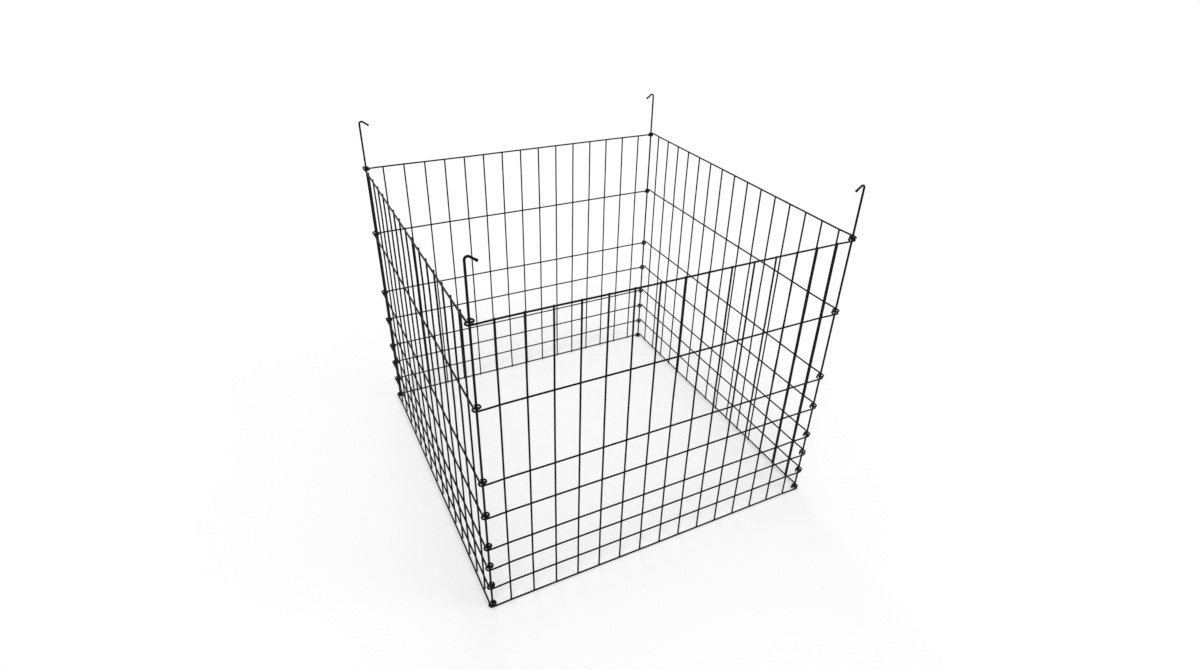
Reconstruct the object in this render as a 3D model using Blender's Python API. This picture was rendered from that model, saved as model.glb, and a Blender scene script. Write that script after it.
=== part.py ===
"""Wire compost bin: four like panels of welded wire, held together at the corners by four hooked rods.

Metres, +Z up. The origin is the middle of the bin on the ground, and the front faces -Y.
A panel is drawn once, in its own frame: +X runs from its first rod to its second, -Y is its outer side,
and Z = 0 is the axis of its bottom wire.
"""

import math

import bmesh
import bpy
from mathutils import Matrix

# Panel
ROD_PITCH = 0.900
END_GAP = 0.0454
UPRIGHT_COUNT = 15
WIRE_DIAMETER = 0.0042
WELD_SINK = 0.0005
UPRIGHT_OVERRUN = 0.0012

# Spaces between the level wires, from the ground up: the space, and how many of it follow each other
CLOSE_SPACE = 0.0635
MIDDLE_SPACE = 0.09525
WIDE_SPACE = 0.1905
LEVEL_SPACES = ((CLOSE_SPACE, 3), (MIDDLE_SPACE, 2), (WIDE_SPACE, 2))

# Eyes at the ends of the level wires
EYE_TURN = math.radians(285)
EYE_STEPS = 10
EYE_PLAY = 0.0003
EYE_HANG = 0.0015

# Rods and their hooks
ROD_DIAMETER = 0.0050
ROD_PROUD = 0.1280
HOOK_BEND_RADIUS = 0.0060
HOOK_TURN = math.radians(127)
HOOK_STEPS = 6
HOOK_LEG = 0.0175

# Gap between pieces that rest on each other
SEAT_GAP = 0.0003

# Wires are drawn with eight flat sides, one of them facing up
SECTION_STEPS = 2
SECTION_SIDES = 4 + 2 * SECTION_STEPS

BLACK = (0.012, 0.012, 0.013, 1.0)
PANEL_ROUGHNESS = 0.42
ROD_ROUGHNESS = 0.38


def corner_radius(diameter):
    """Radius to the corners of the section, whose area is that of the round wire."""
    turn = 2 * math.pi / SECTION_SIDES
    return diameter / 2 * math.sqrt(turn / math.sin(turn))


def flat_radius(diameter):
    """Radius to the flats of the section."""
    return corner_radius(diameter) * math.cos(math.pi / SECTION_SIDES)


WIRE_FLAT = flat_radius(WIRE_DIAMETER)
CROSSING = 2 * WIRE_FLAT + SEAT_GAP
RIM_SHIFT = SEAT_GAP + WELD_SINK

# The eyes hang a little outwards on their rods. A rod just clears those of the rim wires, which are also
# moved by the rim shift
EYE_STEP = EYE_TURN / EYE_STEPS
EYE_OFFSET = math.hypot(EYE_HANG, RIM_SHIFT)
EYE_RADIUS = (corner_radius(ROD_DIAMETER) + EYE_PLAY + EYE_OFFSET + WIRE_FLAT) / math.cos(EYE_STEP / 2)
UPRIGHT_LINE = -EYE_RADIUS + CROSSING

CORNER = ROD_PITCH / 2
LOW_STAND = WIRE_FLAT
HIGH_STAND = WIRE_FLAT + CROSSING


def level_heights():
    """Heights of the level wires over the bottom one."""
    heights = [0.0]
    for space, count in LEVEL_SPACES:
        for _ in range(count):
            heights.append(heights[-1] + space)
    return heights


LEVELS = level_heights()
ROD_STRAIGHT = LOW_STAND + LEVELS[-1] + ROD_PROUD - HOOK_BEND_RADIUS


def clear_scene():
    for thing in list(bpy.data.objects):
        bpy.data.objects.remove(thing, do_unlink=True)


def coated_steel(name, roughness):
    """Black vinyl coat over steel wire."""
    material = bpy.data.materials.new(name)
    material.use_nodes = True
    shader = material.node_tree.nodes["Principled BSDF"]
    shader.inputs["Base Color"].default_value = BLACK
    shader.inputs["Roughness"].default_value = roughness
    shader.inputs["Metallic"].default_value = 0.0
    material.diffuse_color = BLACK
    return material


def wire_curve(name, points, diameter, material):
    """A bent wire with cut ends, as a curve through its points."""
    curve = bpy.data.curves.new(name, "CURVE")
    curve.dimensions = "3D"
    curve.twist_mode = "Z_UP"
    curve.bevel_depth = corner_radius(diameter)
    curve.bevel_resolution = SECTION_STEPS
    curve.use_fill_caps = True
    spline = curve.splines.new("POLY")
    spline.points.add(len(points) - 1)
    for point, place in zip(spline.points, points):
        point.co = (*place, 1.0)
        point.tilt = math.pi / SECTION_SIDES
    curve.materials.append(material)
    return curve


def eye_points(shift):
    """Points of the eye at a wire's first end, from the cut end to where the wire runs straight."""
    points = []
    for step in range(EYE_STEPS + 1):
        angle = -math.pi / 2 - EYE_TURN + step * EYE_STEP
        points.append((EYE_RADIUS * math.cos(angle) - EYE_HANG, EYE_RADIUS * math.sin(angle) + shift, 0.0))
    return points


def level_wire_points(shift=0.0):
    """A level wire with an eye at each end. The shift moves it towards the uprights."""
    first = eye_points(shift)
    second = [(ROD_PITCH - x, y, z) for x, y, z in reversed(first)]
    return first + second


def upright_mesh(name, x):
    """One upright wire, from the bottom rim wire to the top one."""
    bottom = LEVELS[0] - UPRIGHT_OVERRUN
    top = LEVELS[-1] + UPRIGHT_OVERRUN
    section_turn = Matrix.Rotation(math.pi / SECTION_SIDES, 4, "Z")
    place = Matrix.Translation((x, UPRIGHT_LINE, (bottom + top) / 2)) @ section_turn
    radius = corner_radius(WIRE_DIAMETER)
    mesh = bpy.data.meshes.new(name)
    shape = bmesh.new()
    bmesh.ops.create_cone(
        shape,
        cap_ends=True,
        segments=SECTION_SIDES,
        radius1=radius,
        radius2=radius,
        depth=top - bottom,
        matrix=place,
    )
    shape.to_mesh(mesh)
    shape.free()
    return mesh


def evaluated_mesh(thing):
    """The object's shape with its bevel or modifiers, as a mesh of its own."""
    graph = bpy.context.evaluated_depsgraph_get()
    return bpy.data.meshes.new_from_object(thing.evaluated_get(graph), depsgraph=graph)


def link(thing, collection=None):
    (collection or bpy.context.scene.collection).objects.link(thing)
    return thing


def frame_mesh(material):
    """Top and bottom rim wires and the uprights, fused at their welds."""
    rim_wire = wire_curve("rim", level_wire_points(RIM_SHIFT), WIRE_DIAMETER, material)
    rim = link(bpy.data.objects.new("rim", rim_wire))
    rim_mesh = evaluated_mesh(rim)
    bpy.data.objects.remove(rim)

    welded = bpy.data.collections.new("welded")
    bpy.context.scene.collection.children.link(welded)
    bottom = link(bpy.data.objects.new("bottom_rim", rim_mesh), welded)
    bottom.location.z = LEVELS[0]
    upright_pitch = (ROD_PITCH - 2 * END_GAP) / (UPRIGHT_COUNT - 1)
    for number in range(UPRIGHT_COUNT):
        name = f"upright_{number + 1}"
        link(bpy.data.objects.new(name, upright_mesh(name, END_GAP + number * upright_pitch)), welded)

    top = link(bpy.data.objects.new("top_rim", rim_mesh.copy()))
    top.data.transform(Matrix.Translation((0.0, 0.0, LEVELS[-1])))
    union = top.modifiers.new("welds", "BOOLEAN")
    union.operation = "UNION"
    union.operand_type = "COLLECTION"
    union.collection = welded
    union.solver = "EXACT"
    mesh = evaluated_mesh(top)
    mesh.name = "panel_frame"

    for thing in [top, *welded.objects]:
        bpy.data.objects.remove(thing, do_unlink=True)
    bpy.data.collections.remove(welded)
    if not mesh.materials:
        mesh.materials.append(material)
    mesh.shade_smooth()
    mesh.set_sharp_from_angle(angle=math.radians(50))
    return mesh


def rod_points():
    """A rod from its foot up, over the bend and down the hook's leg, which points along +X."""
    points = [(0.0, 0.0, 0.0)]
    for step in range(HOOK_STEPS + 1):
        angle = math.pi - step * HOOK_TURN / HOOK_STEPS
        x = HOOK_BEND_RADIUS * (1 + math.cos(angle))
        points.append((x, 0.0, ROD_STRAIGHT + HOOK_BEND_RADIUS * math.sin(angle)))
    x, y, z = points[-1]
    points.append((x + HOOK_LEG * math.sin(HOOK_TURN), y, z + HOOK_LEG * math.cos(HOOK_TURN)))
    return points


def add_pivot(name, x, y, turn):
    """An empty on a panel's joint axis, turned as the panel stands."""
    pivot = link(bpy.data.objects.new(name, None))
    pivot.location = (x, y, 0.0)
    pivot.rotation_euler.z = turn
    pivot.empty_display_size = 0.05
    return pivot


def add_panel(side, pivot, first_rod_x, stand, frame, level_wire):
    """The seven nodes of one panel, carried by its pivot."""
    pieces = [(f"{side}_frame", frame, 0.0)]
    for number in range(1, len(LEVELS) - 1):
        pieces.append((f"{side}_level_wire_{number + 1}", level_wire, LEVELS[number]))
    for name, shape, height in pieces:
        piece = link(bpy.data.objects.new(name, shape))
        piece.parent = pivot
        piece.location = (first_rod_x, 0.0, stand + height)


def add_rod(name, x, y, turn, shape):
    rod = link(bpy.data.objects.new(name, shape))
    rod.location = (x, y, 0.0)
    rod.rotation_euler.z = turn


def build():
    clear_scene()
    panel_coat = coated_steel("panel_coat", PANEL_ROUGHNESS)
    rod_coat = coated_steel("rod_coat", ROD_ROUGHNESS)
    frame = frame_mesh(panel_coat)
    level_wire = wire_curve("level_wire", level_wire_points(), WIRE_DIAMETER, panel_coat)

    # The front and back panels stand on the ground, and the side panels' eyes rest on their eyes
    quarter = math.pi / 2
    front = add_pivot("front_panel", -CORNER, -CORNER, 0.0)
    right = add_pivot("right_panel", CORNER, CORNER, quarter)
    back = add_pivot("back_panel", CORNER, CORNER, 2 * quarter)
    left = add_pivot("left_panel", -CORNER, CORNER, 3 * quarter)
    add_panel("front", front, 0.0, LOW_STAND, frame, level_wire)
    add_panel("right", right, -ROD_PITCH, HIGH_STAND, frame, level_wire)
    add_panel("back", back, 0.0, LOW_STAND, frame, level_wire)
    add_panel("left", left, 0.0, HIGH_STAND, frame, level_wire)

    # All the hooks point inwards along the front and back panels
    rod = wire_curve("rod", rod_points(), ROD_DIAMETER, rod_coat)
    add_rod("front_left_rod", -CORNER, -CORNER, 0.0, rod)
    add_rod("back_left_rod", -CORNER, CORNER, 0.0, rod)
    add_rod("front_right_rod", CORNER, -CORNER, math.pi, rod)
    add_rod("back_right_rod", CORNER, CORNER, math.pi, rod)


build()
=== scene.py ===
"""Looks of the wire compost bin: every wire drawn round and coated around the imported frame, on a white floor.

Metres, +Z up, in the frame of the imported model. A panel is drawn in its own frame: +X runs from its first rod
to its second, -Y is its outer side and +Z is up.
"""

import math
import random

import bpy
import numpy as np
from mathutils import Matrix, Vector, noise


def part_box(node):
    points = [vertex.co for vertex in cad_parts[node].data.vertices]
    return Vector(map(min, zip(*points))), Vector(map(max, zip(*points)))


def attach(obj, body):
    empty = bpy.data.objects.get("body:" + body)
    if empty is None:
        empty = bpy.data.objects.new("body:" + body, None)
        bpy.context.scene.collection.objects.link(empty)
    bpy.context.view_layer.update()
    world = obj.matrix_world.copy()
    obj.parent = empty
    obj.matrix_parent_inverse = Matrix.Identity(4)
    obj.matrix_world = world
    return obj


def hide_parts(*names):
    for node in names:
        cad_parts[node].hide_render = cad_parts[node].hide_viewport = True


SEED = 7
PANEL_SEED = SEED * 100

# Wires
WIRE_RADIUS = 0.0021
ROD_RADIUS = 0.0025
WIRE_SIDES = 16
ROD_SIDES = 20

# Cut ends are rounded over, and some end in a drop of coating. The rounding and the drops are shares of the
# radius
END_ROUNDING = 0.6
END_SPACING = 0.0003
DOME_STEPS = 6
WIRE_DROP = 0.06
ROD_DROP = 0.26
DROP_LENGTH = 0.005

# The dipped coat is thinner in places, by up to this share of the radius
COAT_SPREAD = 0.025
COAT_LENGTH = 0.045

# Panels. The out sizes say how far line wires and uprights lie outside the line from rod to rod
UPRIGHT_COUNT = 15
END_GAP = 0.0454
UPRIGHT_OVERRUN = 0.0012
LINE_OUT = 0.00605
UPRIGHT_OUT = 0.00265
SPAN_STEPS = 48
INNER_LEVELS = range(2, 8)

# Eyes at the ends of the line wires. Within the taper a wire bends from its eye to its straight line
EYE_RADIUS = 0.0068
LOW_EYE_TURN = math.radians(281)
HIGH_EYE_TURN = math.radians(300)
EYE_TURN_SPREAD = math.radians(5)
EYE_STEPS = 30
EYE_CLEARANCE = 0.0001
EYE_TAPER = 0.060

# Eyes of the side panels lie a little higher than their wires, and those of the others lower: by this much
# at most, and by this share of it at least
EYE_LIFT = 0.0008
LEAST_LIFT_SHARE = 0.2
LIFT_TAPER = 0.050

# Where the middles of the eyes hang from their rods, along X and Y: the front and back panels' lower eyes are
# pushed to the left, and the side panels' upper ones to the right. At the back left corner it is the other
# way
HANG_TO_LEFT = ((-0.0015, -0.0011), (-0.0010, 0.0001))
HANG_TO_RIGHT = ((0.0006, 0.0015), (-0.0009, 0.0006))

# How far the real wires stray from straight. Near a rod the bow and the sag fade away within the taper
BOW_OUT = 0.0006
BOW_IN = 0.0014
LEAN = 0.0009
SAG = 0.0007
STRAY_LENGTH = 0.30
STRAY_TAPER = (0.020, 0.140)

# Each wire has a place of its own in the noise, so that no two stray or are coated alike
WIRE_STEP = 3.7
CHANNEL_STEP = 11.3
LEAN_STEP = 2.3
SAG_STEP = 1.9
LEAN_CHANNEL = 10
SAG_CHANNEL = 20
COAT_STEP = 5.3

# Numbers of the wires for their coats: how many a panel takes up, and where its uprights and the rods start
PANEL_NUMBERS = 40
FIRST_UPRIGHT = 10
FIRST_ROD = 200

# Beads of coating in the crook of each weld, drawn along turns and slopes round the weld's middle
BEAD_TURNS = 24
BEAD_SLOPES = range(-66, 67, 11)
BEAD_BLENDS = (0.0010, 0.0012, 0.0014)
BEAD_REACH = 0.0032
BEAD_INSET = 0.00006
BEAD_HALVINGS = 24

# Rods
RODS = ("front_left_rod", "front_right_rod", "back_left_rod", "back_right_rod")
HOOK_BEND_RADIUS = 0.0060
HOOK_TURN = math.radians(127)
HOOK_STEPS = 18
HOOK_LEG = 0.0175
HOOK_LEG_STEPS = 12
ROD_SPAN_STEPS = 60

# Where the coat is scuffed: near the eyes on a rod, at a rod's foot, and over this share of an upright at its
# ends
ROD_WEAR_REACH = 0.009
FOOT_WEAR_HEIGHT = 0.03
UPRIGHT_WEAR_SHARE = 0.004

# Finish
COAT = (0.0030, 0.0030, 0.0033, 1.0)
COAT_WORN = (0.022, 0.022, 0.023, 1.0)
COAT_SHINE = 0.08
PANEL_ROUGHNESS = 0.45
ROD_ROUGHNESS = 0.40
ROUGHNESS_SPREAD = 0.07
WORN_ROUGHNESS = 0.18
PEEL_STRENGTH = 0.5
PANEL_PEEL = 0.00006
ROD_PEEL = 0.00004

# Textures of the coat, by their scale and detail, and the range of each that counts
PATCHES = (28.0, 3.0)
PATCH_RANGE = (0.3, 0.7)
SCUFFS = (420.0, 4.0)
SCUFF_RANGE = (0.48, 0.66)
PEEL = (700.0, 2.0)

# Light: how bright a white surface that faces up gets from the sky, and from each lamp at its azimuth and
# elevation in degrees. Azimuth 0 shines from the front, and it grows towards the right
SKY_LEVEL = 0.55
LAMPS = (
    ("key_lamp", -35.0, 52.0, 0.23),
    ("fill_lamp", 55.0, 45.0, 0.12),
    ("back_lamp", 170.0, 40.0, 0.10),
)
LAMP_SPREAD = math.radians(24)

# Floor
FLOOR_WHITE = (0.80, 0.80, 0.80, 1.0)
FLOOR_ROUGHNESS = 0.9
FLOOR_GLOW = 0.215
FLOOR_SIZE = 60.0

# Camera
CAMERA_PLACE = (-0.7392, -1.4882, 1.3973)
CAMERA_TURN = (58.32, -1.54, -26.95)
CAMERA_LENS = 20.976
SENSOR_WIDTH = 36.0

WHITE = (1.0, 1.0, 1.0, 1.0)


def smooth_step(value, low, high):
    """0 up to the low value and 1 from the high one, with a smooth rise between them."""
    part = min(max((value - low) / (high - low), 0.0), 1.0)
    return part * part * (3 - 2 * part)


def fade(value, low, high):
    """1 up to the low value and 0 from the high one."""
    return 1 - smooth_step(value, low, high)


def wander(along, line, channel):
    """A smooth number from about -1 to 1 that strays slowly along a wire."""
    return noise.noise(Vector((along / STRAY_LENGTH, line * WIRE_STEP + SEED, channel * CHANNEL_STEP)))


def unit_rows(rows):
    return rows / np.linalg.norm(rows, axis=1)[:, None]


def reaches(path):
    """How far along the path each of its points lies."""
    steps = np.linalg.norm(np.diff(path, axis=0), axis=1)
    return np.concatenate([[0.0], np.cumsum(steps)])


def shortened(path, first, last):
    """The path without these lengths at its two ends."""
    along = reaches(path)
    start, end = first, along[-1] - last
    inner = path[(along > start + END_SPACING) & (along < end - END_SPACING)]
    ends = [[np.interp(reach, along, path[:, axis]) for axis in range(3)] for reach in (start, end)]
    return np.concatenate([ends[:1], inner, ends[1:]])


def coated_radii(path, radius, drops, line):
    """Radius along a wire: the dipped coat is a little uneven, and it swells into a drop at a cut end."""
    along = reaches(path)
    radii = []
    for reach in along:
        thin = 0.5 + 0.5 * noise.noise(Vector((reach / COAT_LENGTH, line * COAT_STEP, SEED)))
        start = drops[0] * fade(reach, 0.0, DROP_LENGTH)
        end = drops[1] * fade(along[-1] - reach, 0.0, DROP_LENGTH)
        radii.append(radius * (1 - COAT_SPREAD * thin + start + end))
    return radii


def tube(points, side, radius, sides, drops, line):
    """Vertices, faces and the path share of each vertex, for one wire.

    Apart from small strays the path bends in one plane, and side is its normal. The cut ends are rounded
    over, and they lie where the path ends.
    """
    cuts = [END_ROUNDING * radius * (1 + drop) for drop in drops]
    path = shortened(np.array(points, float), *cuts)
    tangent = unit_rows(np.gradient(path, axis=0))
    radii = coated_radii(path, radius, drops, line)
    first, last = radii[0], radii[-1]
    centres, directions = list(path), list(tangent)
    for step in range(1, DOME_STEPS + 1):
        angle = math.pi / 2 * step / DOME_STEPS
        rise, narrow = END_ROUNDING * math.sin(angle), math.cos(angle)
        centres.insert(0, path[0] - tangent[0] * first * rise)
        centres.append(path[-1] + tangent[-1] * last * rise)
        radii = [first * narrow, *radii, last * narrow]
        directions = [tangent[0], *directions, tangent[-1]]
    side = np.array(side, float)
    across = unit_rows(np.cross(side, np.array(directions)))
    turns = np.linspace(0, 2 * math.pi, sides, endpoint=False)
    rings = []
    for centre, reach, sideways in zip(centres[1:-1], radii[1:-1], across[1:-1]):
        ring = np.cos(turns)[:, None] * sideways + np.sin(turns)[:, None] * side
        rings.append(centre + reach * ring)
    vertices = np.concatenate([centres[:1], *rings, centres[-1:]])
    share = np.concatenate([[0.0], np.repeat(np.linspace(0, 1, len(rings)), sides), [1.0]])
    return vertices, ring_faces(len(rings), sides), share


def ring_faces(rings, sides):
    """Faces of a closed shape: a first point, rings of points, and a last point."""
    faces = []
    last = 1 + rings * sides
    for k in range(sides):
        after = (k + 1) % sides
        faces.append((0, 1 + after, 1 + k))
        for ring in range(rings - 1):
            low, high = 1 + ring * sides, 1 + (ring + 1) * sides
            faces.append((low + k, low + after, high + after, high + k))
        faces.append((last, last - sides + k, last - sides + after))
    return faces


def piece(name, vertices, faces, place, material, body, nodes, wear=None):
    """One visible piece of the object, riding on its body in place of its CAD nodes."""
    mesh = bpy.data.meshes.new(name)
    mesh.from_pydata([tuple(v) for v in vertices], [], faces)
    mesh.transform(place)
    if wear is not None:
        mesh.attributes.new("wear", "FLOAT", "POINT").data.foreach_set("value", np.array(wear, np.float32))
    mesh.materials.append(material)
    mesh.shade_smooth()
    thing = bpy.data.objects.new(name, mesh)
    bpy.context.scene.collection.objects.link(thing)
    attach(thing, body)
    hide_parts(*nodes)


def math_node(tree, operation, first, second):
    """What a Math node makes of two sockets, or of a socket and a number."""
    node = tree.nodes.new("ShaderNodeMath")
    node.operation = operation
    tree.links.new(first, node.inputs[0])
    if isinstance(second, float):
        node.inputs[1].default_value = second
    else:
        tree.links.new(second, node.inputs[1])
    return node.outputs[0]


def coat(name, roughness, peel):
    """Black vinyl coat: faintly uneven colour and gloss, an orange-peel skin, and scuffs where wires rub."""
    material = bpy.data.materials.new(name)
    material.use_nodes = True
    tree = material.node_tree
    shader = tree.nodes["Principled BSDF"]
    shader.inputs["Specular IOR Level"].default_value = COAT_SHINE
    coordinates = tree.nodes.new("ShaderNodeTexCoord")

    def texture(scale, detail):
        made = tree.nodes.new("ShaderNodeTexNoise")
        made.inputs["Scale"].default_value = scale
        made.inputs["Detail"].default_value = detail
        tree.links.new(coordinates.outputs["Object"], made.inputs["Vector"])
        return made.outputs["Fac"]

    def remap(source, low, high, to_low, to_high):
        made = tree.nodes.new("ShaderNodeMapRange")
        for socket, value in zip(("From Min", "From Max", "To Min", "To Max"), (low, high, to_low, to_high)):
            made.inputs[socket].default_value = value
        tree.links.new(source, made.inputs["Value"])
        return made.outputs["Result"]

    wear = tree.nodes.new("ShaderNodeAttribute")
    wear.attribute_name = "wear"
    scuffs = remap(texture(*SCUFFS), *SCUFF_RANGE, 0.0, 1.0)
    worn = math_node(tree, "MULTIPLY", wear.outputs["Fac"], scuffs)

    colour = tree.nodes.new("ShaderNodeMix")
    colour.data_type = "RGBA"
    colour.inputs["A"].default_value = COAT
    colour.inputs["B"].default_value = COAT_WORN
    tree.links.new(worn, colour.inputs["Factor"])
    tree.links.new(colour.outputs["Result"], shader.inputs["Base Color"])

    least, most = roughness - ROUGHNESS_SPREAD, roughness + ROUGHNESS_SPREAD
    patches = remap(texture(*PATCHES), *PATCH_RANGE, least, most)
    scuffed = remap(worn, 0.0, 1.0, 0.0, WORN_ROUGHNESS)
    tree.links.new(math_node(tree, "ADD", patches, scuffed), shader.inputs["Roughness"])

    bump = tree.nodes.new("ShaderNodeBump")
    bump.inputs["Strength"].default_value = PEEL_STRENGTH
    bump.inputs["Distance"].default_value = peel
    tree.links.new(texture(*PEEL), bump.inputs["Height"])
    tree.links.new(bump.outputs["Normal"], shader.inputs["Normal"])
    return material


class Panel:
    """One welded panel: where it stands, which body it is, and how its wires stray."""

    def __init__(self, number, side, first_rod, eyes_up, pitch):
        self.number = number
        self.side = side
        self.body = f"{side}_panel"
        self.place = Matrix.Translation((*first_rod, 0.0)) @ Matrix.Rotation(number * math.pi / 2, 4, "Z")
        self.eyes_up = eyes_up
        self.pitch = pitch
        self.draw = random.Random(PANEL_SEED + number)
        self.heights = self.wire_heights()

    def wire_heights(self):
        """Heights of the eight line wires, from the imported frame."""
        low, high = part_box(f"{self.side}_frame")
        inner = []
        for number in INNER_LEVELS:
            bottom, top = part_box(f"{self.side}_level_wire_{number}")
            inner.append((bottom.z + top.z) / 2)
        return [low.z + WIRE_RADIUS, *inner, high.z - WIRE_RADIUS]

    def from_rod(self, x):
        """How far the place lies from the nearer rod."""
        return min(x, self.pitch - x)

    def bow(self, x, z):
        """How far the panel bulges outwards there."""
        stray = wander(x, z / STRAY_LENGTH, self.number)
        return smooth_step(self.from_rod(x), *STRAY_TAPER) * stray * (BOW_OUT if stray > 0 else BOW_IN)

    def lean(self, upright, z):
        """How far an upright strays along the panel."""
        return LEAN * wander(z, upright * LEAN_STEP, self.number + LEAN_CHANNEL)

    def sag(self, level, x):
        """Height of a line wire over its straight line. The bottom wire only rises."""
        taper = smooth_step(self.from_rod(x), *STRAY_TAPER)
        stray = SAG * taper * wander(x, level * SAG_STEP, self.number + SAG_CHANNEL)
        return abs(stray) if level == 0 else stray

    def upright_x(self, upright):
        return END_GAP + upright * (self.pitch - 2 * END_GAP) / (UPRIGHT_COUNT - 1)

    def eased(self, x, first, second, reach):
        """The first value at the first rod and the second at the other one, fading out within the reach."""
        return first * fade(x, 0.0, reach) + second * fade(self.pitch - x, 0.0, reach)

    def add(self, name, vertices, faces, material, node, wear=None):
        """One piece of the panel, whose name and node start with its side."""
        name, nodes = f"{self.side}_{name}", [f"{self.side}_{node}"]
        piece(name, vertices, faces, self.place, material, self.body, nodes, wear)


def eye_middle(panel, outwards):
    """Where the middle of an eye lies from its rod, which it hangs on with some play.

    It is given in the panel's frame, with +X towards the panel's other end for both. outwards is the way
    along the panel's X in which its end points.
    """
    at_back_left = (panel.side, outwards) in (("left", -1), ("back", 1))
    hang = HANG_TO_RIGHT if panel.eyes_up != at_back_left else HANG_TO_LEFT
    x, y = (panel.draw.uniform(*spread) for spread in hang)
    turned = panel.place.to_3x3().inverted() @ Vector((x, y, 0.0))
    middle = Vector((-outwards * turned.x, turned.y))
    play = EYE_RADIUS - WIRE_RADIUS - ROD_RADIUS - EYE_CLEARANCE
    return middle * min(1.0, play / middle.length)


def eye_path(turn, middle):
    """Points of the eye at a wire's first end, from the cut end to where the wire runs straight."""
    points = []
    for step in range(EYE_STEPS + 1):
        angle = -math.pi / 2 - turn * (1 - step / EYE_STEPS)
        points.append((middle.x + EYE_RADIUS * math.cos(angle), middle.y + EYE_RADIUS * math.sin(angle)))
    return points


def line_path(panel, level):
    """A line wire from cut end to cut end, with an eye round each rod."""
    pitch = panel.pitch
    eye_turn = HIGH_EYE_TURN if panel.eyes_up else LOW_EYE_TURN
    turns = [eye_turn + EYE_TURN_SPREAD * panel.draw.uniform(-1, 1) for _ in range(2)]
    middles = [eye_middle(panel, outwards) for outwards in (-1, 1)]
    first = eye_path(turns[0], middles[0])
    second = [(pitch - x, y) for x, y in reversed(eye_path(turns[1], middles[1]))]
    off_line = (first[-1][1] + LINE_OUT, second[0][1] + LINE_OUT)
    span = []
    for step in range(1, SPAN_STEPS):
        x = pitch * step / SPAN_STEPS
        span.append((x, -LINE_OUT + panel.eased(x, *off_line, EYE_TAPER)))
    lifts = [EYE_LIFT * panel.draw.uniform(LEAST_LIFT_SHARE, 1.0) for _ in range(2)]
    if not panel.eyes_up:
        lifts = [0.0 if level == 0 else -lift for lift in lifts]
    height = panel.heights[level]
    points = []
    for x, y in [*first, *span, *second]:
        z = height + panel.sag(level, x) + panel.eased(x, *lifts, LIFT_TAPER)
        points.append((x, y - panel.bow(x, height), z))
    return points


def eye_wear(panel, vertices):
    """Scuffs where an eye rubs on its rod, and at its cut end."""
    wear = []
    for x, y, _ in vertices:
        reach = min(math.hypot(x, y), math.hypot(x - panel.pitch, y))
        wear.append(fade(reach, EYE_RADIUS - WIRE_RADIUS, EYE_RADIUS + WIRE_RADIUS))
    return wear


def add_line_wires(panel, material):
    last = len(panel.heights) - 1
    for level in range(last + 1):
        drop = 0.0 if level == 0 else WIRE_DROP
        line = panel.number * PANEL_NUMBERS + level
        path = line_path(panel, level)
        vertices, faces, _ = tube(path, (0, 0, 1), WIRE_RADIUS, WIRE_SIDES, (drop, drop), line)
        node = "frame" if level in (0, last) else f"level_wire_{level + 1}"
        panel.add(f"line_wire_{level + 1}", vertices, faces, material, node, eye_wear(panel, vertices))


def add_uprights(panel, material):
    bottom = panel.heights[0] - UPRIGHT_OVERRUN
    top = panel.heights[-1] + UPRIGHT_OVERRUN
    for upright in range(UPRIGHT_COUNT):
        x = panel.upright_x(upright)
        path = []
        for step in range(SPAN_STEPS + 1):
            z = bottom + (top - bottom) * step / SPAN_STEPS
            path.append((x + panel.lean(upright, z), -UPRIGHT_OUT - panel.bow(x, z), z))
        line = panel.number * PANEL_NUMBERS + FIRST_UPRIGHT + upright
        vertices, faces, share = tube(path, (0, 1, 0), WIRE_RADIUS, WIRE_SIDES, (0.0, 0.0), line)
        wear = [fade(min(s, 1 - s), 0.0, UPRIGHT_WEAR_SHARE) for s in share]
        panel.add(f"upright_{upright + 1:02d}", vertices, faces, material, "frame", wear)


def blended(first, second, reach):
    """Distance to two shapes joined by a fillet."""
    overlap = np.clip(reach - abs(first - second), 0, None) / reach
    return np.minimum(first, second) - overlap * overlap * reach / 4


def weld_bead(blend, lowest=-math.inf):
    """The fillet in the crook of a weld, closed inside the wires: its points round the weld's middle.

    +Y points from the line wire, which runs along X, to the upright, which runs up along Z from the lowest
    point, where it is rounded over.
    """
    half = (LINE_OUT - UPRIGHT_OUT) / 2
    directions = [(0, -1, 0)]
    for slope in BEAD_SLOPES:
        rise, level = math.sin(math.radians(slope)), math.cos(math.radians(slope))
        for step in range(BEAD_TURNS):
            turn = 2 * math.pi * step / BEAD_TURNS
            directions.append((level * math.cos(turn), rise, -level * math.sin(turn)))
    directions = np.array([*directions, (0, 1, 0)], float)
    inside, outside = np.zeros(len(directions)), np.full(len(directions), BEAD_REACH)
    for _ in range(BEAD_HALVINGS):
        middle = (inside + outside) / 2
        x, y, z = (directions * middle[:, None]).T
        past_end = np.maximum(lowest + END_ROUNDING * WIRE_RADIUS - z, 0) / END_ROUNDING
        line = np.hypot(y + half, z) - WIRE_RADIUS + BEAD_INSET
        upright = np.hypot(np.hypot(y - half, x), past_end) - WIRE_RADIUS + BEAD_INSET
        within = blended(line, upright, blend) < 0
        inside, outside = np.where(within, middle, inside), np.where(within, outside, middle)
    points = directions * inside[:, None]
    points[0] = (0, -half, 0)
    points[-1] = (0, half, 0)
    return points


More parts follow.
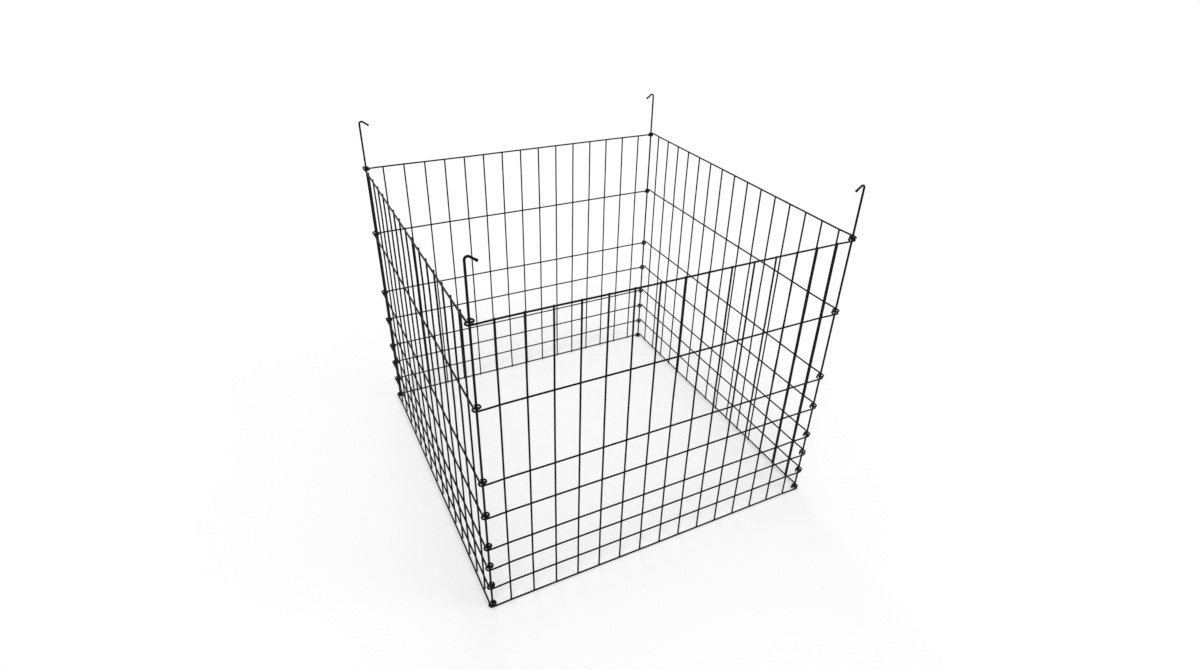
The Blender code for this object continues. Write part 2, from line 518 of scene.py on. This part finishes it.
def add_welds(panel, material):
    """The beads of all the panel's welds, as one piece.

    The uprights end at the first and the last line wire, so the beads there go round an end.
    """
    inner = [weld_bead(blend) for blend in BEAD_BLENDS]
    bottom = [weld_bead(blend, -UPRIGHT_OVERRUN) for blend in BEAD_BLENDS]
    top = [bead * (-1, 1, -1) for bead in bottom]
    shapes = [bottom, *[inner] * len(INNER_LEVELS), top]
    bead_faces = ring_faces(len(BEAD_SLOPES), BEAD_TURNS)
    vertices, faces = [], []
    for upright in range(UPRIGHT_COUNT):
        for level, height in enumerate(panel.heights):
            x = panel.upright_x(upright)
            middle = (
                x + panel.lean(upright, height),
                -(LINE_OUT + UPRIGHT_OUT) / 2 - panel.bow(x, height),
                height + panel.sag(level, x),
            )
            bead = panel.draw.choice(shapes[level])
            base = len(vertices) * len(bead)
            vertices.append(np.array(middle) + bead)
            faces += [tuple(base + corner for corner in face) for face in bead_faces]
    panel.add("welds", np.concatenate(vertices), faces, material, "frame")


def add_panels(pitch, material):
    """Four panels, each a quarter turn on from the one before."""
    half = pitch / 2
    stands = (
        ("front", (-half, -half), False),
        ("right", (half, -half), True),
        ("back", (half, half), False),
        ("left", (-half, half), True),
    )
    panels = []
    for number, (side, first_rod, eyes_up) in enumerate(stands):
        panel = Panel(number, side, first_rod, eyes_up, pitch)
        add_line_wires(panel, material)
        add_uprights(panel, material)
        add_welds(panel, material)
        panels.append(panel)
    return panels


def rod_path(height):
    """A rod from its foot up, over the bend and down the hook's leg, which points along +X."""
    straight = height - ROD_RADIUS - HOOK_BEND_RADIUS
    points = [(0.0, 0.0, straight * step / ROD_SPAN_STEPS) for step in range(ROD_SPAN_STEPS + 1)]
    for step in range(1, HOOK_STEPS + 1):
        angle = math.pi - step * HOOK_TURN / HOOK_STEPS
        x = HOOK_BEND_RADIUS * (1 + math.cos(angle))
        points.append((x, 0.0, straight + HOOK_BEND_RADIUS * math.sin(angle)))
    x, y, z = points[-1]
    for step in range(1, HOOK_LEG_STEPS + 1):
        reach = step / HOOK_LEG_STEPS * HOOK_LEG
        points.append((x + reach * math.sin(HOOK_TURN), y, z + reach * math.cos(HOOK_TURN)))
    return points


def add_rod(name, material, eye_heights, line):
    """A rod where its node stands, with its hook towards the other side of the bin."""
    low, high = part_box(name)
    on_left = low.x < 0
    x = low.x + ROD_RADIUS if on_left else high.x - ROD_RADIUS
    turn = Matrix.Rotation(0.0 if on_left else math.pi, 4, "Z")
    place = Matrix.Translation((x, (low.y + high.y) / 2, 0.0)) @ turn
    vertices, faces, _ = tube(rod_path(high.z), (0, 1, 0), ROD_RADIUS, ROD_SIDES, (0.0, ROD_DROP), line)
    wear = []
    for _, _, z in vertices:
        gap = min(abs(z - height) for height in eye_heights)
        wear.append(max(fade(gap, 0.0, ROD_WEAR_REACH), fade(z, 0.0, FOOT_WEAR_HEIGHT)))
    piece(name + "_wire", vertices, faces, place, material, name, [name], wear)


def rod_pitch():
    """Distance between the rods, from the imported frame."""
    left_rod, right_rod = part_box("front_left_rod"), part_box("front_right_rod")
    return (right_rod[1].x - ROD_RADIUS) - (left_rod[0].x + ROD_RADIUS)


def light_path_share(tree):
    """1 for rays that see a surface, straight or in a reflection or through glass, and 0 for the others."""
    path = tree.nodes.new("ShaderNodeLightPath")
    share = path.outputs["Is Camera Ray"]
    for output in ("Is Glossy Ray", "Is Transmission Ray"):
        share = math_node(tree, "MAXIMUM", share, path.outputs[output])
    return share


def add_floor():
    """A wide white floor. It glows a little for the rays that see it, so it reads white with its shadows."""
    bpy.ops.mesh.primitive_plane_add(size=FLOOR_SIZE)
    floor = bpy.context.object
    floor.name = "floor"
    material = bpy.data.materials.new("white_floor")
    material.use_nodes = True
    tree = material.node_tree
    shader = tree.nodes["Principled BSDF"]
    shader.inputs["Base Color"].default_value = FLOOR_WHITE
    shader.inputs["Roughness"].default_value = FLOOR_ROUGHNESS
    shader.inputs["Specular IOR Level"].default_value = 0.0
    shader.inputs["Emission Color"].default_value = WHITE
    glow = math_node(tree, "MULTIPLY", light_path_share(tree), FLOOR_GLOW)
    tree.links.new(glow, shader.inputs["Emission Strength"])
    floor.data.materials.append(material)


def add_world():
    """A white sky, which lights the object less than it shows."""
    world = bpy.data.worlds.new("studio")
    world.use_nodes = True
    tree = world.node_tree
    background = tree.nodes["Background"]
    background.inputs["Color"].default_value = WHITE
    strength = tree.nodes.new("ShaderNodeMapRange")
    strength.inputs["To Min"].default_value = SKY_LEVEL
    strength.inputs["To Max"].default_value = 1.0
    tree.links.new(light_path_share(tree), strength.inputs["Value"])
    tree.links.new(strength.outputs["Result"], background.inputs["Strength"])
    bpy.context.scene.world = world


def add_lamp(name, azimuth, elevation, level):
    """A wide, soft lamp as far off as the sun, which adds this level to a white surface that faces up."""
    data = bpy.data.lights.new(name, "SUN")
    data.angle = LAMP_SPREAD
    data.energy = level * math.pi / math.sin(math.radians(elevation))
    lamp = bpy.data.objects.new(name, data)
    lamp.rotation_euler = (math.radians(90 - elevation), 0.0, math.radians(azimuth))
    bpy.context.scene.collection.objects.link(lamp)


def add_camera():
    data = bpy.data.cameras.new("camera")
    data.sensor_width = SENSOR_WIDTH
    data.lens = CAMERA_LENS
    camera = bpy.data.objects.new("camera", data)
    camera.location = CAMERA_PLACE
    camera.rotation_euler = [math.radians(angle) for angle in CAMERA_TURN]
    bpy.context.scene.collection.objects.link(camera)
    bpy.context.scene.camera = camera


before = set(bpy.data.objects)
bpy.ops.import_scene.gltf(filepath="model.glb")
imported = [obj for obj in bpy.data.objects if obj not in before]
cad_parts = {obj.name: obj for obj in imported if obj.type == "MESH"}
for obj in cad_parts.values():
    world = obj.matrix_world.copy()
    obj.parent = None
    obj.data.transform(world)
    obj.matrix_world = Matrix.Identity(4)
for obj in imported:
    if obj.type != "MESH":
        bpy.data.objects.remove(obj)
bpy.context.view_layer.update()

panels = add_panels(rod_pitch(), coat("panel_coat", PANEL_ROUGHNESS, PANEL_PEEL))
rod_coat = coat("rod_coat", ROD_ROUGHNESS, ROD_PEEL)
eye_heights = [height for panel in panels[:2] for height in panel.heights]
for number, rod in enumerate(RODS):
    add_rod(rod, rod_coat, eye_heights, FIRST_ROD + number)

add_floor()
add_world()
for lamp in LAMPS:
    add_lamp(*lamp)
add_camera()
bpy.context.scene.view_settings.view_transform = "Standard"
